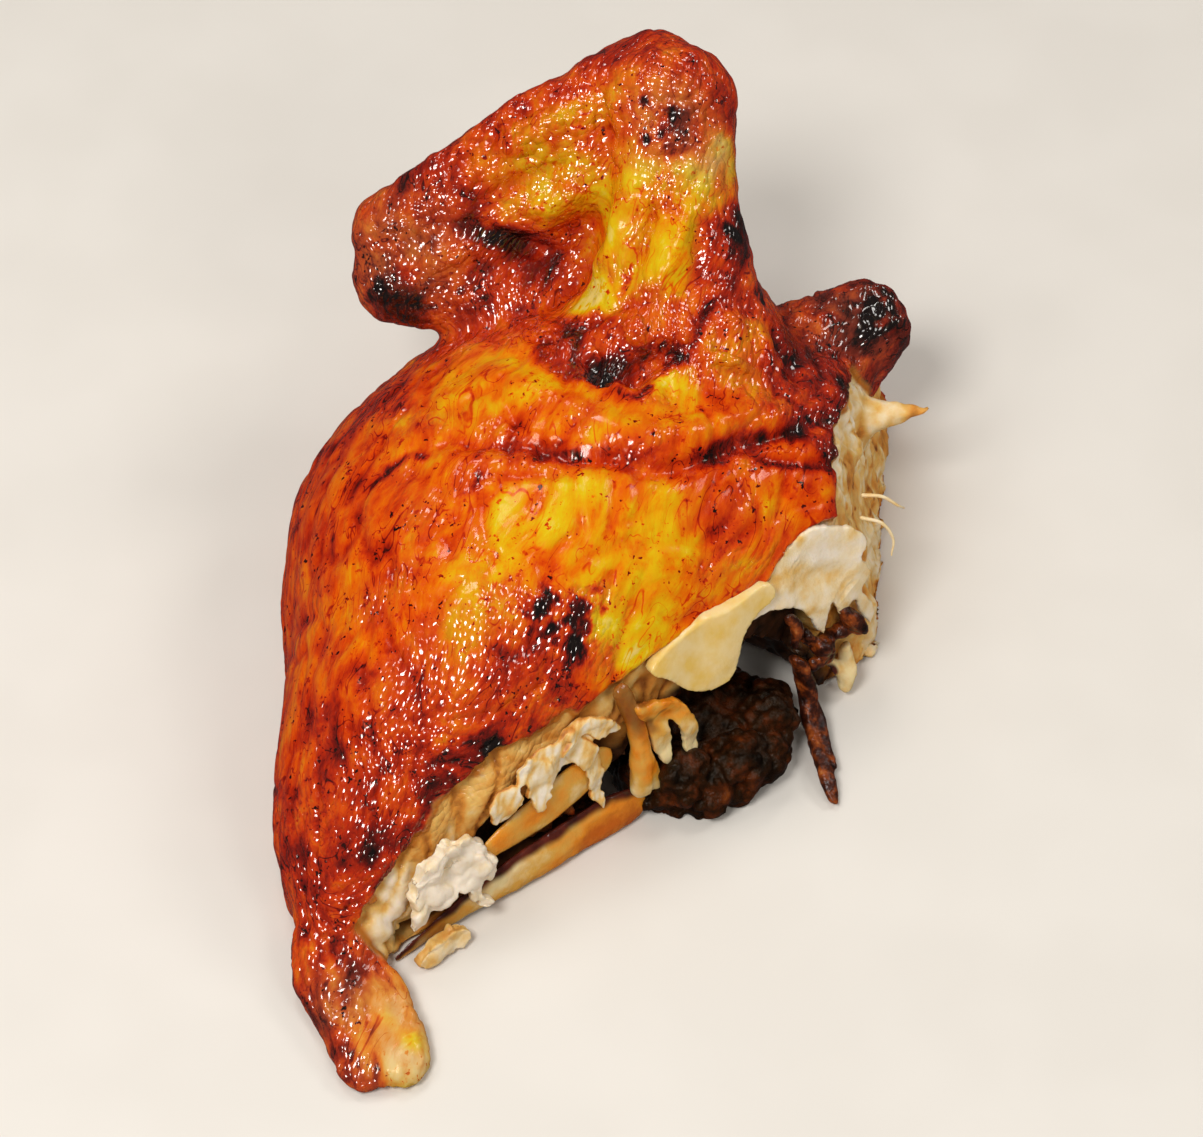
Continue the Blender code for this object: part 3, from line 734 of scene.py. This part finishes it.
# Chains for the burnt, gristly and stringy bits, as (x, y, z, radius).
KNOB = (
    ((112.6, 1, 9, 1.2), (112, 0, 6.6, 1.5), (111.4, -1.2, 4.4, 2.2), (110.6, -1.6, 2.8, 1.8)),
    ((111, -0.8, 5, 1.5), (109.4, -0.4, 7, 1.3), (108, 0.4, 9, 1)),
)
STRIP = (
    ((101, 0.6, 14, 2.2), (101.2, -2, 7, 2.4), (99, -6, 3, 2), (96.8, -12, 2.2, 2.3)),
    ((96.8, -12, 2.2, 2.3), (94.3, -16.5, 2, 2.1), (92.4, -20.6, 1.2, 1.2)),
    ((102.4, -1, 9, 1.2), (101.6, -5, 4, 1), (98.6, -11, 2.6, 1.3), (97, -15.4, 2.2, 0.9)),
)
BURNT_BITS = (
    ((103, 1.5, 19, 1.8), (105.4, 0.2, 16, 2.8), (107, -0.4, 13, 1.8), (104, -0.2, 12, 1.6)),
    ((112, 1.8, 19, 1.8), (114, 0.6, 16, 2.6), (115, 0, 13.4, 1.8), (116.6, 1.4, 11.6, 1.2)),
    ((107, 1, 15, 1.6), (110, 1.6, 14, 1.4), (113, 1.4, 15, 1.6)),
    ((99, 2.2, 27, 1), (100.5, 1.4, 24, 1.3), (99.6, 1, 20, 0.8)),
)
THREADS = (
    ((125, 13, 32.4, 0.45), (127.5, 10.5, 32.6, 0.4), (129.6, 8.4, 30.6, 0.35), (131.4, 8.6, 28.4, 0.25)),
    ((121, 8.6, 33, 0.45), (123.4, 5.6, 32.6, 0.4), (124.4, 3.4, 29.6, 0.35), (123.2, 2.2, 27, 0.25)),
)
# Where two blades' edges lie, as (x, z): the top of the lower one and the foot of the upper one.
BLADE_TOP = ((10, 2.2), (18, 5.0), (28, 7.8), (38, 9.1), (48, 9.8), (57, 10.2), (62, 8.2))
UPPER_FOOT = ((29, 9.6), (35, 10.2), (43, 10.6), (51, 12.2), (56, 14))


def on_face(x, z, out):
    """A point that stands off the breastbone cut."""
    return Vector((x, z * CUT_SLOPE - out, z))


def torn_sheets(name, outlines, thickness, tear, voxel=0.35):
    """One solid fused from thin sheets with ragged outlines."""
    bm = bmesh.new()
    for seed, outline in enumerate(outlines):
        rim = curve([on_face(*spot) for spot in outline], 0.5, closed=True)
        ragged = tear * np.array([waves(rim, 1.4, 90 + seed), waves(rim, 1.4, 95 + seed)]).T
        rim[:, 0] += ragged[:, 0]
        rim[:, 2] += ragged[:, 1]
        half = np.array(OUT) * thickness / 2
        front = [bm.verts.new(to_row(p + half)) for p in rim]
        back = [bm.verts.new(to_row(p - half)) for p in rim]
        bm.faces.new(front)
        bm.faces.new(back[::-1])
        for i in range(len(rim)):
            bm.faces.new((front[i - 1], back[i - 1], back[i], front[i]))
    bmesh.ops.recalc_face_normals(bm, faces=bm.faces)
    bmesh.ops.triangulate(bm, faces=bm.faces)
    return Surface(remeshed(piece_of(bm, name), voxel, 3))


def along_face(name, chains, thickness):
    """One solid fused from chains of (x, z, out, radius) that lie along the breastbone cut."""
    strung = [[(*on_face(*spot), radius) for *spot, radius in chain] for chain in chains]
    return moulded(name, strung, 0.35, 5, OUT, thickness)


def roughen(piece, grain, curl, lumps, fibres, seed):
    """Bends a bit about, and gives it lumps and fibres along the grain."""
    piece.press(OUT, curl * waves(piece.points, 5, 60 + seed))
    loose = warped(piece.points, 4, 1.8, 64 + seed)
    piece.push(lumps * (bubbles(loose, 3.8, 63 + seed) - 0.6))
    run = along_grain(piece.points, grain, 3.2)
    ridged = ridges(run, 2.0, 61 + seed) - 0.45
    piece.push(fibres * ridged + 0.4 * fibres * waves(piece.points, 1.4, 62))


def make_torn_meat(meat):
    # Each sheet's name, outlines, thickness, tear and grain; its tone, streaks and browned edges; and its
    # curl, lumps and fibres.
    sheets = (
        ("white_chunk", WHITE_CHUNK, 2.6, 0.9, (0.3, 0.1, 1), (0.98, 0.1, 0.1), (1.6, 1.3, 0.25)),
        ("chip", CHIP, 2.4, 0.5, (1, 0.2, 0.2), (0.78, 0.2, 0.2), (0.6, 0.9, 0.2)),
        ("shreds", SHREDS, 1.0, 1.0, (0.5, 0.1, 1), (0.78, 0.6, 0.44), (2.0, 0.2, 0.4)),
    )
    for seed, (name, outlines, thickness, tear, grain, looks, relief) in enumerate(sheets):
        tone, streaky, rimmed = looks
        piece = torn_sheets(name, outlines, thickness, tear, 0.3)
        edges = 1 - np.abs(piece.normals @ np.array(OUT))
        roughen(piece, grain, *relief, 3 * seed)
        points = piece.points
        streaks = ridges(along_grain(points, grain, 4), 1.8, 79) - 0.5
        piece.keep(tone=tone + 0.14 * waves(points, 3.5, 77) - streaky * streaks - rimmed * edges)
        piece.finish(meat, "gristle")


def make_burnt_bits():
    burnt = burnt_material()
    chains = (
        ("burnt_bits", BURNT_BITS, (0.2, 0.1, 1), 0.7, 1.0),
        ("burnt_strip", STRIP, (0.2, 1, 0.4), 0.42, 0.15),
    )
    for seed, (name, strung, grain, thickness, lumps) in enumerate(chains):
        piece = moulded(name, strung, 0.35, 4, (0.8, 0.3, 0.5), thickness)
        roughen(piece, grain, 0.8, lumps, 0.35, 20 + 3 * seed)
        piece.finish(burnt, "gristle")


def make_threads(meat):
    threads = moulded("threads", THREADS, 0.2, 2)
    threads.keep(tone=np.full(len(threads.points), 0.8))
    threads.finish(meat, "gristle")


def make_fat_tongue():
    tongue = torn_sheets("fat_tongue", TONGUE, 2.4, 0.1)
    tongue.press(OUT, 0.9 * waves(tongue.points, 9, 71))
    tongue.finish(fat_material(), "gristle")


def make_white_flap(meat):
    flap = torn_sheets("white_flap", WHITE_FLAP, 1.3, 0.4)
    fold = line(flap.points, FLAP_FOLD, 2.2, 0.1)
    bent = 0.4 * waves(flap.points, 8, 70) + 0.2 * waves(flap.points, 3, 69) - 0.9 * fold
    flap.press(OUT, bent)
    # Painted shade: the flap is darker down its fold.
    flap.keep(tone=meat_level(flap.points) + 0.34 - 0.2 * fold)
    flap.finish(meat, "gristle")


def make_blades(bone):
    """The breastbone's blade along the foot of the cut, and the thin one above it."""
    blade = along_face("breastbone_blade", BREASTBONE, 0.34)
    blade.push(0.5 * waves(blade.points, 9, 72) + 0.15 * waves(blade.points, 2, 73))
    x, _, z = blade.points.T
    below_top = profile(x, BLADE_TOP) - z
    clear = 0.5 * smooth(34, 58, x)
    blade.keep(
        stain=smooth(2.0, 0.6, below_top + 0.5 * waves(blade.points, 4, 74)),
        tone=0.58 - clear + 0.15 * smooth(3, 7, z) + 0.3 * waves(blade.points, 5, 78),
    )
    blade.finish(bone, "bone", "breastbone")
    upper = along_face("upper_blade", UPPER_BLADE, 0.32)
    upper.press(OUT, 0.4 * waves(upper.points, 7, 75))
    x, _, z = upper.points.T
    upper.keep(
        stain=smooth(1.6, 0.2, z - profile(x, UPPER_FOOT)),
        tone=0.52 + 0.35 * waves(upper.points, 5, 79),
    )
    upper.finish(bone, "bone")


def make_rib(bone):
    """The stub of the cut rib, and the curled gristle on it."""
    rib = along_face("cut_rib", RIB, 0.8)
    length = along_grain(rib.points, (0.1, 0.1, 1), 4)
    rib.push(0.2 * waves(rib.points, 2.5, 85) + 0.4 * (ridges(length, 1.8, 86) - 0.45))
    z = rib.points[:, 2]
    rib.keep(
        stain=0.7 * smooth(16, 28, z + 7 * waves(length, 1.6, 86)),
        tone=0.36 + 0.55 * smooth(14, 7, z) + 0.4 * waves(length, 2, 87),
    )
    rib.finish(bone, "bone")
    hook = torn_sheets("rib_hook", RIB_HOOK, 1.5, 0.4)
    roughen(hook, (0.2, 0.1, 1), 1.4, 0.3, 0.3, 40)
    z = hook.points[:, 2]
    hook.keep(
        stain=0.7 * smooth(0.0, 0.5, waves(hook.points, 3, 88)) * smooth(15, 24, z),
        tone=0.4 + 0.6 * smooth(24, 12, z) + 0.3 * waves(hook.points, 2, 89),
    )
    hook.finish(bone, "gristle")


def make_knob(bone):
    knob = moulded("wishbone_knob", KNOB, 0.35, 4)
    roughen(knob, (0.3, 0.2, 1), 0.6, 0.7, 0.3, 30)
    knob.keep(stain=smooth(0.1, 0.5, waves(knob.points, 3, 76)), tone=0.9 + 0.3 * waves(knob.points, 2.5, 80))
    knob.finish(bone, "gristle", "wishbone_end")


def make_lining():
    lining = Surface(remeshed(copy_of("rib_lining", "dark_lining"), 0.45, 3))
    points = lining.points
    lumps = 1.3 * bubbles(points, 5.0, 81) + 0.9 * bubbles(points, 2.6, 82)
    lining.push(lumps - 0.8 * creases(points, 6, 83))
    lining.push(0.5 * waves(points, 1.5, 84))
    lining.finish(lining_material(), "dark_lining", "rib_lining")


# -------- materials


class Nodes:
    """A short way to write the nodes of a material, or of the world."""

    def __init__(self, name, kind="materials", shader="Principled BSDF"):
        self.owner = getattr(bpy.data, kind).new(name)
        self.owner.use_nodes = True
        self.tree = self.owner.node_tree
        self.shader = self.tree.nodes[shader]

    def add(self, kind, settings=None, **inputs):
        node = self.tree.nodes.new(kind)
        for key, value in (settings or {}).items():
            setattr(node, key, value)
        for key, value in inputs.items():
            self.set(node, key, value)
        return node

    def set(self, node, key, value):
        """Sets or links an input, named as in Blender in lower case with underscores, or _ and its number."""
        names = [s.name.lower().replace(" ", "_") for s in node.inputs]
        socket = node.inputs[int(key[1:])] if key[0] == "_" else node.inputs[names.index(key)]
        if isinstance(value, bpy.types.NodeSocket):
            self.tree.links.new(value, socket)
        else:
            socket.default_value = value

    def stored(self, name, output="Fac"):
        return self.add("ShaderNodeAttribute", {"attribute_name": name}).outputs[output]

    def place(self):
        return self.add("ShaderNodeTexCoord").outputs["Object"]

    def clouds(self, size, detail=3.0, roughness=0.55, distortion=0.0, where=None):
        looks = {"detail": detail, "roughness": roughness, "distortion": distortion}
        made = self.add("ShaderNodeTexNoise", vector=where or self.place(), scale=1 / (size * MM), **looks)
        return made.outputs["Fac"]

    def uneven(self, *clouds):
        """Clouds with 0 as their middle."""
        return self.math("SUBTRACT", self.clouds(*clouds), 0.5)

    def domes(self, size, where=None):
        """Round pits about size apart, which stand out as domes when their height is negative."""
        made = self.add("ShaderNodeTexVoronoi", vector=where or self.place(), scale=1 / (size * MM))
        return self.math("POWER", made.outputs["Distance"], 2.0)

    def math(self, operation, a, b=0.0, c=0.0):
        return self.add("ShaderNodeMath", {"operation": operation}, _0=a, _1=b, _2=c).outputs[0]

    def times(self, a, b):
        return self.math("MULTIPLY", a, b)

    def between(self, value, low, high, out_low=0.0, out_high=1.0):
        """A smooth step from out_low where value is low to out_high where it is high."""
        made = self.add("ShaderNodeMapRange", {"interpolation_type": "SMOOTHSTEP"})
        for i, number in enumerate((value, low, high, out_low, out_high)):
            self.set(made, f"_{i}", number)
        return made.outputs[0]

    def mix(self, share, a, b, kind="RGBA"):
        """Part of the way from colour a to colour b, or from place to place where the kind is VECTOR."""
        made = self.add("ShaderNodeMix", {"data_type": kind})
        first, output = {"RGBA": (6, 2), "VECTOR": (4, 1)}[kind]
        for i, value in ((0, share), (first, a), (first + 1, b)):
            self.set(made, f"_{i}", value)
        return made.outputs[output]

    def ramp(self, value, stops):
        made = self.add("ShaderNodeValToRGB", fac=value)
        elements = made.color_ramp.elements
        while len(elements) < len(stops):
            elements.new(0.5)
        for element, (position, *colour) in zip(elements, stops):
            element.position = position
            element.color = (*colour, 1)
        return made.outputs["Color"]

    def bump(self, height, depth):
        return self.add("ShaderNodeBump", height=height, distance=depth * MM).outputs["Normal"]

    def finish(self, **inputs):
        for key, value in inputs.items():
            self.set(self.shader, key, value)
        return self.owner


# Colours as (level, red, green, blue), from pale yellow to charred.
ROAST_COLOURS = (
    (0.00, 0.72, 0.52, 0.13), (0.12, 0.64, 0.43, 0.005), (0.26, 0.66, 0.28, 0.002),
    (0.38, 0.67, 0.135, 0.001), (0.5, 0.6, 0.056, 0.001), (0.62, 0.43, 0.018, 0.001),
    (0.74, 0.19, 0.005, 0.002), (0.86, 0.055, 0.003, 0.002), (1.00, 0.006, 0.003, 0.003),
)
# The same where the skin is thick and leathery.
LEATHER_COLOURS = (
    (0.00, 0.66, 0.46, 0.2), (0.35, 0.6, 0.22, 0.035), (0.55, 0.42, 0.085, 0.018),
    (0.7, 0.17, 0.028, 0.014), (0.85, 0.06, 0.01, 0.006), (1.00, 0.008, 0.004, 0.004),
)
# From stained brown through tan and cream to white.
MEAT_TONES = (
    (0.00, 0.09, 0.022, 0.006), (0.22, 0.34, 0.11, 0.02), (0.45, 0.62, 0.25, 0.04),
    (0.65, 0.72, 0.43, 0.12), (0.82, 0.78, 0.6, 0.34), (1.00, 0.82, 0.7, 0.55),
)
# Thin bone and gristle, from clear orange-brown to opaque cream.
BONE_TONES = (
    (0.00, 0.56, 0.12, 0.004), (0.3, 0.76, 0.25, 0.012), (0.6, 0.68, 0.36, 0.06),
    (0.9, 0.78, 0.6, 0.3),
)
BURNT_TONES = (
    (0.34, 0.008, 0.003, 0.002), (0.48, 0.05, 0.01, 0.004), (0.62, 0.28, 0.055, 0.008),
    (0.76, 0.5, 0.2, 0.05),
)
LINING_TONES = (
    (0.34, 0.004, 0.002, 0.001), (0.5, 0.022, 0.007, 0.002), (0.62, 0.07, 0.014, 0.003),
    (0.78, 0.2, 0.045, 0.006),
)
FAT_TONES = ((0.35, 0.74, 0.48, 0.11), (0.6, 0.78, 0.58, 0.26))
# Painted shade for the hollows, from near-black to dark brown.
HOLLOW_SHADE_TONES = ((0.35, 0.012, 0.006, 0.004), (0.7, 0.09, 0.03, 0.012))
STAIN_TONES = ((0.3, 0.03, 0.006, 0.004), (0.7, 0.13, 0.02, 0.01))
FLOOR_TONES = ((0.4, 0.7, 0.65, 0.58), (0.6, 0.72, 0.67, 0.6))
TORN_EDGE = (0.42, 0.13, 0.015, 1)
WARM_SHINE = (1.0, 0.68, 0.34, 1)


def sunk(weight, spread, depth):
    """The shader's inputs for light that sinks in, by depth in mm and its spread in red, green and blue."""
    return {"subsurface_weight": weight, "subsurface_radius": spread, "subsurface_scale": depth * MM}


def coated(normal, weight, roughness):
    """The shader's inputs for a relief under a glossy coat that follows it."""
    return {"normal": normal, "coat_weight": weight, "coat_roughness": roughness, "coat_normal": normal}


def skin_level(n, grain):
    """The level that the roast colours are looked up at: the stored one with its fine marks added."""
    roast = n.stored("roast")
    level = n.math("ADD", roast, 0.03)
    coarse = n.uneven(6.0, 5, 0.6, 0.6)
    streaks = n.uneven(1.6, 5, 0.68, 0.5, grain)
    speck_here = n.between(n.clouds(7.0, 2), 0.4, 0.6)
    specks = n.times(n.between(n.clouds(1.3, 2, 0.6), 0.64, 0.7), speck_here)
    freckles = n.times(n.between(n.clouds(2.1, 3, 0.7), 0.6, 0.68), speck_here)
    veins = n.between(n.math("ABSOLUTE", n.uneven(5.0, 1, 0.5, 1.5, grain)), 0.02, 0.004)
    veins = n.times(veins, n.between(n.clouds(6.0, 1), 0.45, 0.58))
    frayed = n.math("MULTIPLY_ADD", n.uneven(1.5, 4, 0.7, 0.6, grain), 2.2, n.stored("burnt"))
    marks = (
        (coarse, n.between(roast, 0.3, 0.6, 0.34, 0.58)),
        (streaks, 0.36),
        (specks, 0.5),
        (freckles, 0.22),
        (veins, 0.2),
        (n.between(frayed, 0.0, 1.3), 0.46),
    )
    for mark, strength in marks:
        level = n.math("MULTIPLY_ADD", mark, strength, level)
    return level


def skin_relief(n, pebbled, grain):
    """Fine wrinkles, clusters of small shiny pebbles, and larger dots."""
    wrinkled = n.times(n.clouds(3.2, 2, 0.5, 0.8, grain), n.between(pebbled, 0.0, 1.0, 0.3, 0.55))
    low = n.between(pebbled, 0.1, 0.7, 0.55, 0.15)
    high = n.between(pebbled, 0.1, 0.7, 0.7, 0.35)
    clusters = n.between(n.clouds(4.0, 1), low, high)
    dotted = n.stored("dotted")
    strength = n.times(n.between(pebbled, 0.0, 0.6, 0.1, 1.0), clusters)
    strength = n.times(strength, n.between(dotted, 0.0, 1.0, -0.55, -0.12))
    pebbles = n.times(n.domes(1.15, n.mix(0.65, n.place(), grain, "VECTOR")), strength)
    dots = n.times(n.domes(1.9), n.times(dotted, -1.2))
    return n.bump(n.math("ADD", n.math("ADD", wrinkled, pebbles), dots), 0.9)


def skin_material():
    n = Nodes("roast_skin")
    bare = n.stored("bare")
    pebbled = n.stored("pebbled")
    grain = n.stored("grain", "Vector")
    level = skin_level(n, grain)
    skin = n.mix(n.stored("leather"), n.ramp(level, ROAST_COLOURS), n.ramp(level, LEATHER_COLOURS))
    rim = n.times(n.between(bare, 0.1, 0.5), n.between(bare, 1.0, 0.6))
    colour = n.mix(rim, n.mix(bare, skin, n.ramp(meat_tone(n), MEAT_TONES)), TORN_EDGE)
    normal = skin_relief(n, pebbled, grain)
    greasy = n.times(pebbled, n.math("SUBTRACT", 1.0, bare))
    return n.finish(
        # painted shade in the hollows
        base_color=n.mix(n.stored("dark"), colour, n.ramp(n.clouds(3.0), HOLLOW_SHADE_TONES)),
        roughness=n.between(bare, 0.0, 1.0, 0.26, 0.45),
        specular_ior_level=0.2,
        specular_tint=WARM_SHINE,
        **sunk(0.1, (1.0, 0.35, 0.12), 1.5),
        **coated(normal, n.between(greasy, 0.1, 0.6, 0.04, 0.52), 0.12),
        coat_ior=2.2,
    )


def meat_tone(n):
    return n.math("MULTIPLY_ADD", n.uneven(2.6, 4, 0.6), 0.5, n.stored("tone"))


def meat_material():
    n = Nodes("torn_meat")
    return n.finish(
        base_color=n.ramp(meat_tone(n), MEAT_TONES),
        roughness=0.4,
        **sunk(0.15, (1.0, 0.6, 0.35), 1.2),
        normal=n.bump(n.clouds(0.7, 3), 0.14),
    )


def fat_material():
    n = Nodes("fat")
    return n.finish(
        base_color=n.ramp(n.clouds(5.0, 3), FAT_TONES),
        roughness=0.25,
        **sunk(0.3, (1.0, 0.7, 0.4), 2.0),
        normal=n.bump(n.clouds(1.2, 3), 0.1),
    )


def bone_material():
    n = Nodes("bone")
    tone = n.math("MULTIPLY_ADD", n.uneven(3.5, 4, 0.6), 0.7, n.stored("tone"))
    stain = n.ramp(n.clouds(3.0), STAIN_TONES)
    return n.finish(
        base_color=n.mix(n.stored("stain"), n.ramp(tone, BONE_TONES), stain),
        roughness=0.25,
        **sunk(0.25, (1.0, 0.5, 0.2), 1.5),
        normal=n.bump(n.clouds(1.6, 3), 0.25),
    )


def burnt_material():
    n = Nodes("burnt")
    normal = n.bump(n.clouds(0.8, 3), 0.3)
    return n.finish(
        base_color=n.ramp(n.clouds(3.0, 4, 0.6), BURNT_TONES),
        roughness=0.3,
        specular_ior_level=0.25,
        **coated(normal, 0.25, 0.15),
    )


def lining_material():
    n = Nodes("dark_lining")
    normal = n.bump(n.clouds(0.8, 4, 0.6), 0.4)
    return n.finish(
        base_color=n.ramp(n.clouds(4.0, 5, 0.65), LINING_TONES),
        roughness=0.35,
        specular_ior_level=0.12,
        specular_tint=WARM_SHINE,
        **coated(normal, 0.2, 0.12),
    )


# -------- floor, light and camera

FLOOR_HALF = 3.0  # in metres, as are the sizes and distances below
LIGHT_AIM = (75, 40, 30)
# Each light's name, its azimuth and elevation in degrees, distance, size and power, and if it is mirrored.
LIGHTS = (
    ("key", -70, 58, 0.9, 0.3, 4.8, True),
    ("front", 5, 40, 1.0, 0.3, 1.5, False),
    ("right", 75, 45, 1.0, 0.3, 1.8, True),
    ("back", 165, 60, 1.0, 0.3, 1.5, True),
    ("left", -125, 55, 1.0, 0.4, 1.8, False),
)
# The world's strength in reflections, and what is added to it as light on the piece and as the backdrop.
REFLECTED_GLOW = 0.06
SOFT_GLOW = 0.22
BACKDROP_GLOW = 0.6
CAMERA_AIM = (77.5, 29.6, 30)
CAMERA_FROM = (-37, 51, 0.65)  # azimuth, elevation and distance
CAMERA_LENS = 107.4  # in millimetres, as is the sensor's width
CAMERA_SENSOR = 36


def make_floor():
    bm = bmesh.new()
    bmesh.ops.create_grid(bm, x_segments=1, y_segments=1, size=FLOOR_HALF)
    floor = piece_of(bm, "floor")
    n = Nodes("floor")
    tone = n.ramp(n.clouds(40, 2), FLOOR_TONES)
    floor.data.materials.append(n.finish(base_color=tone, roughness=0.6))
    floor.visible_glossy = False


def aimed(obj, target, azimuth, elevation, distance):
    """Puts the object at that azimuth and elevation as seen from the target, and turns it to the target."""
    a, e = math.radians(azimuth), math.radians(elevation)
    target = to_row(target)
    eye = target + distance * Vector((math.sin(a) * math.cos(e), -math.cos(a) * math.cos(e), math.sin(e)))
    obj.location = eye
    obj.rotation_mode = "QUATERNION"
    obj.rotation_quaternion = (target - eye).to_track_quat("-Z", "Y")


def make_lights():
    for name, *place, size, power, mirrored in LIGHTS:
        light = bpy.data.lights.new(name, "AREA")
        light.shape = "DISK"
        light.size = size
        light.energy = power
        obj = in_scene(name, light)
        obj.visible_glossy = mirrored
        aimed(obj, LIGHT_AIM, *place)


def make_world():
    """A pale backdrop, some soft light from all round, and hardly any of it in the reflections."""
    n = Nodes("studio", "worlds", "Background")
    rays = n.add("ShaderNodeLightPath").outputs
    lit = n.math("MULTIPLY_ADD", rays["Is Diffuse Ray"], SOFT_GLOW, REFLECTED_GLOW)
    seen = n.math("MULTIPLY_ADD", rays["Is Camera Ray"], BACKDROP_GLOW, lit)
    bpy.context.scene.world = n.finish(color=(1.0, 0.98, 0.95, 1), strength=seen)
    bpy.context.scene.view_settings.view_transform = "Standard"


def make_camera():
    camera = bpy.data.cameras.new("camera")
    camera.sensor_width = CAMERA_SENSOR
    camera.lens = CAMERA_LENS
    obj = in_scene("camera", camera)
    aimed(obj, CAMERA_AIM, *CAMERA_FROM)
    bpy.context.scene.camera = obj


def main():
    make_floor()
    make_world()
    make_lights()
    make_camera()
    make_meat()
    meat = meat_material()
    make_torn_meat(meat)
    make_burnt_bits()
    make_threads(meat)
    make_fat_tongue()
    make_white_flap(meat)
    bone = bone_material()
    make_blades(bone)
    make_rib(bone)
    make_knob(bone)
    make_lining()


main()
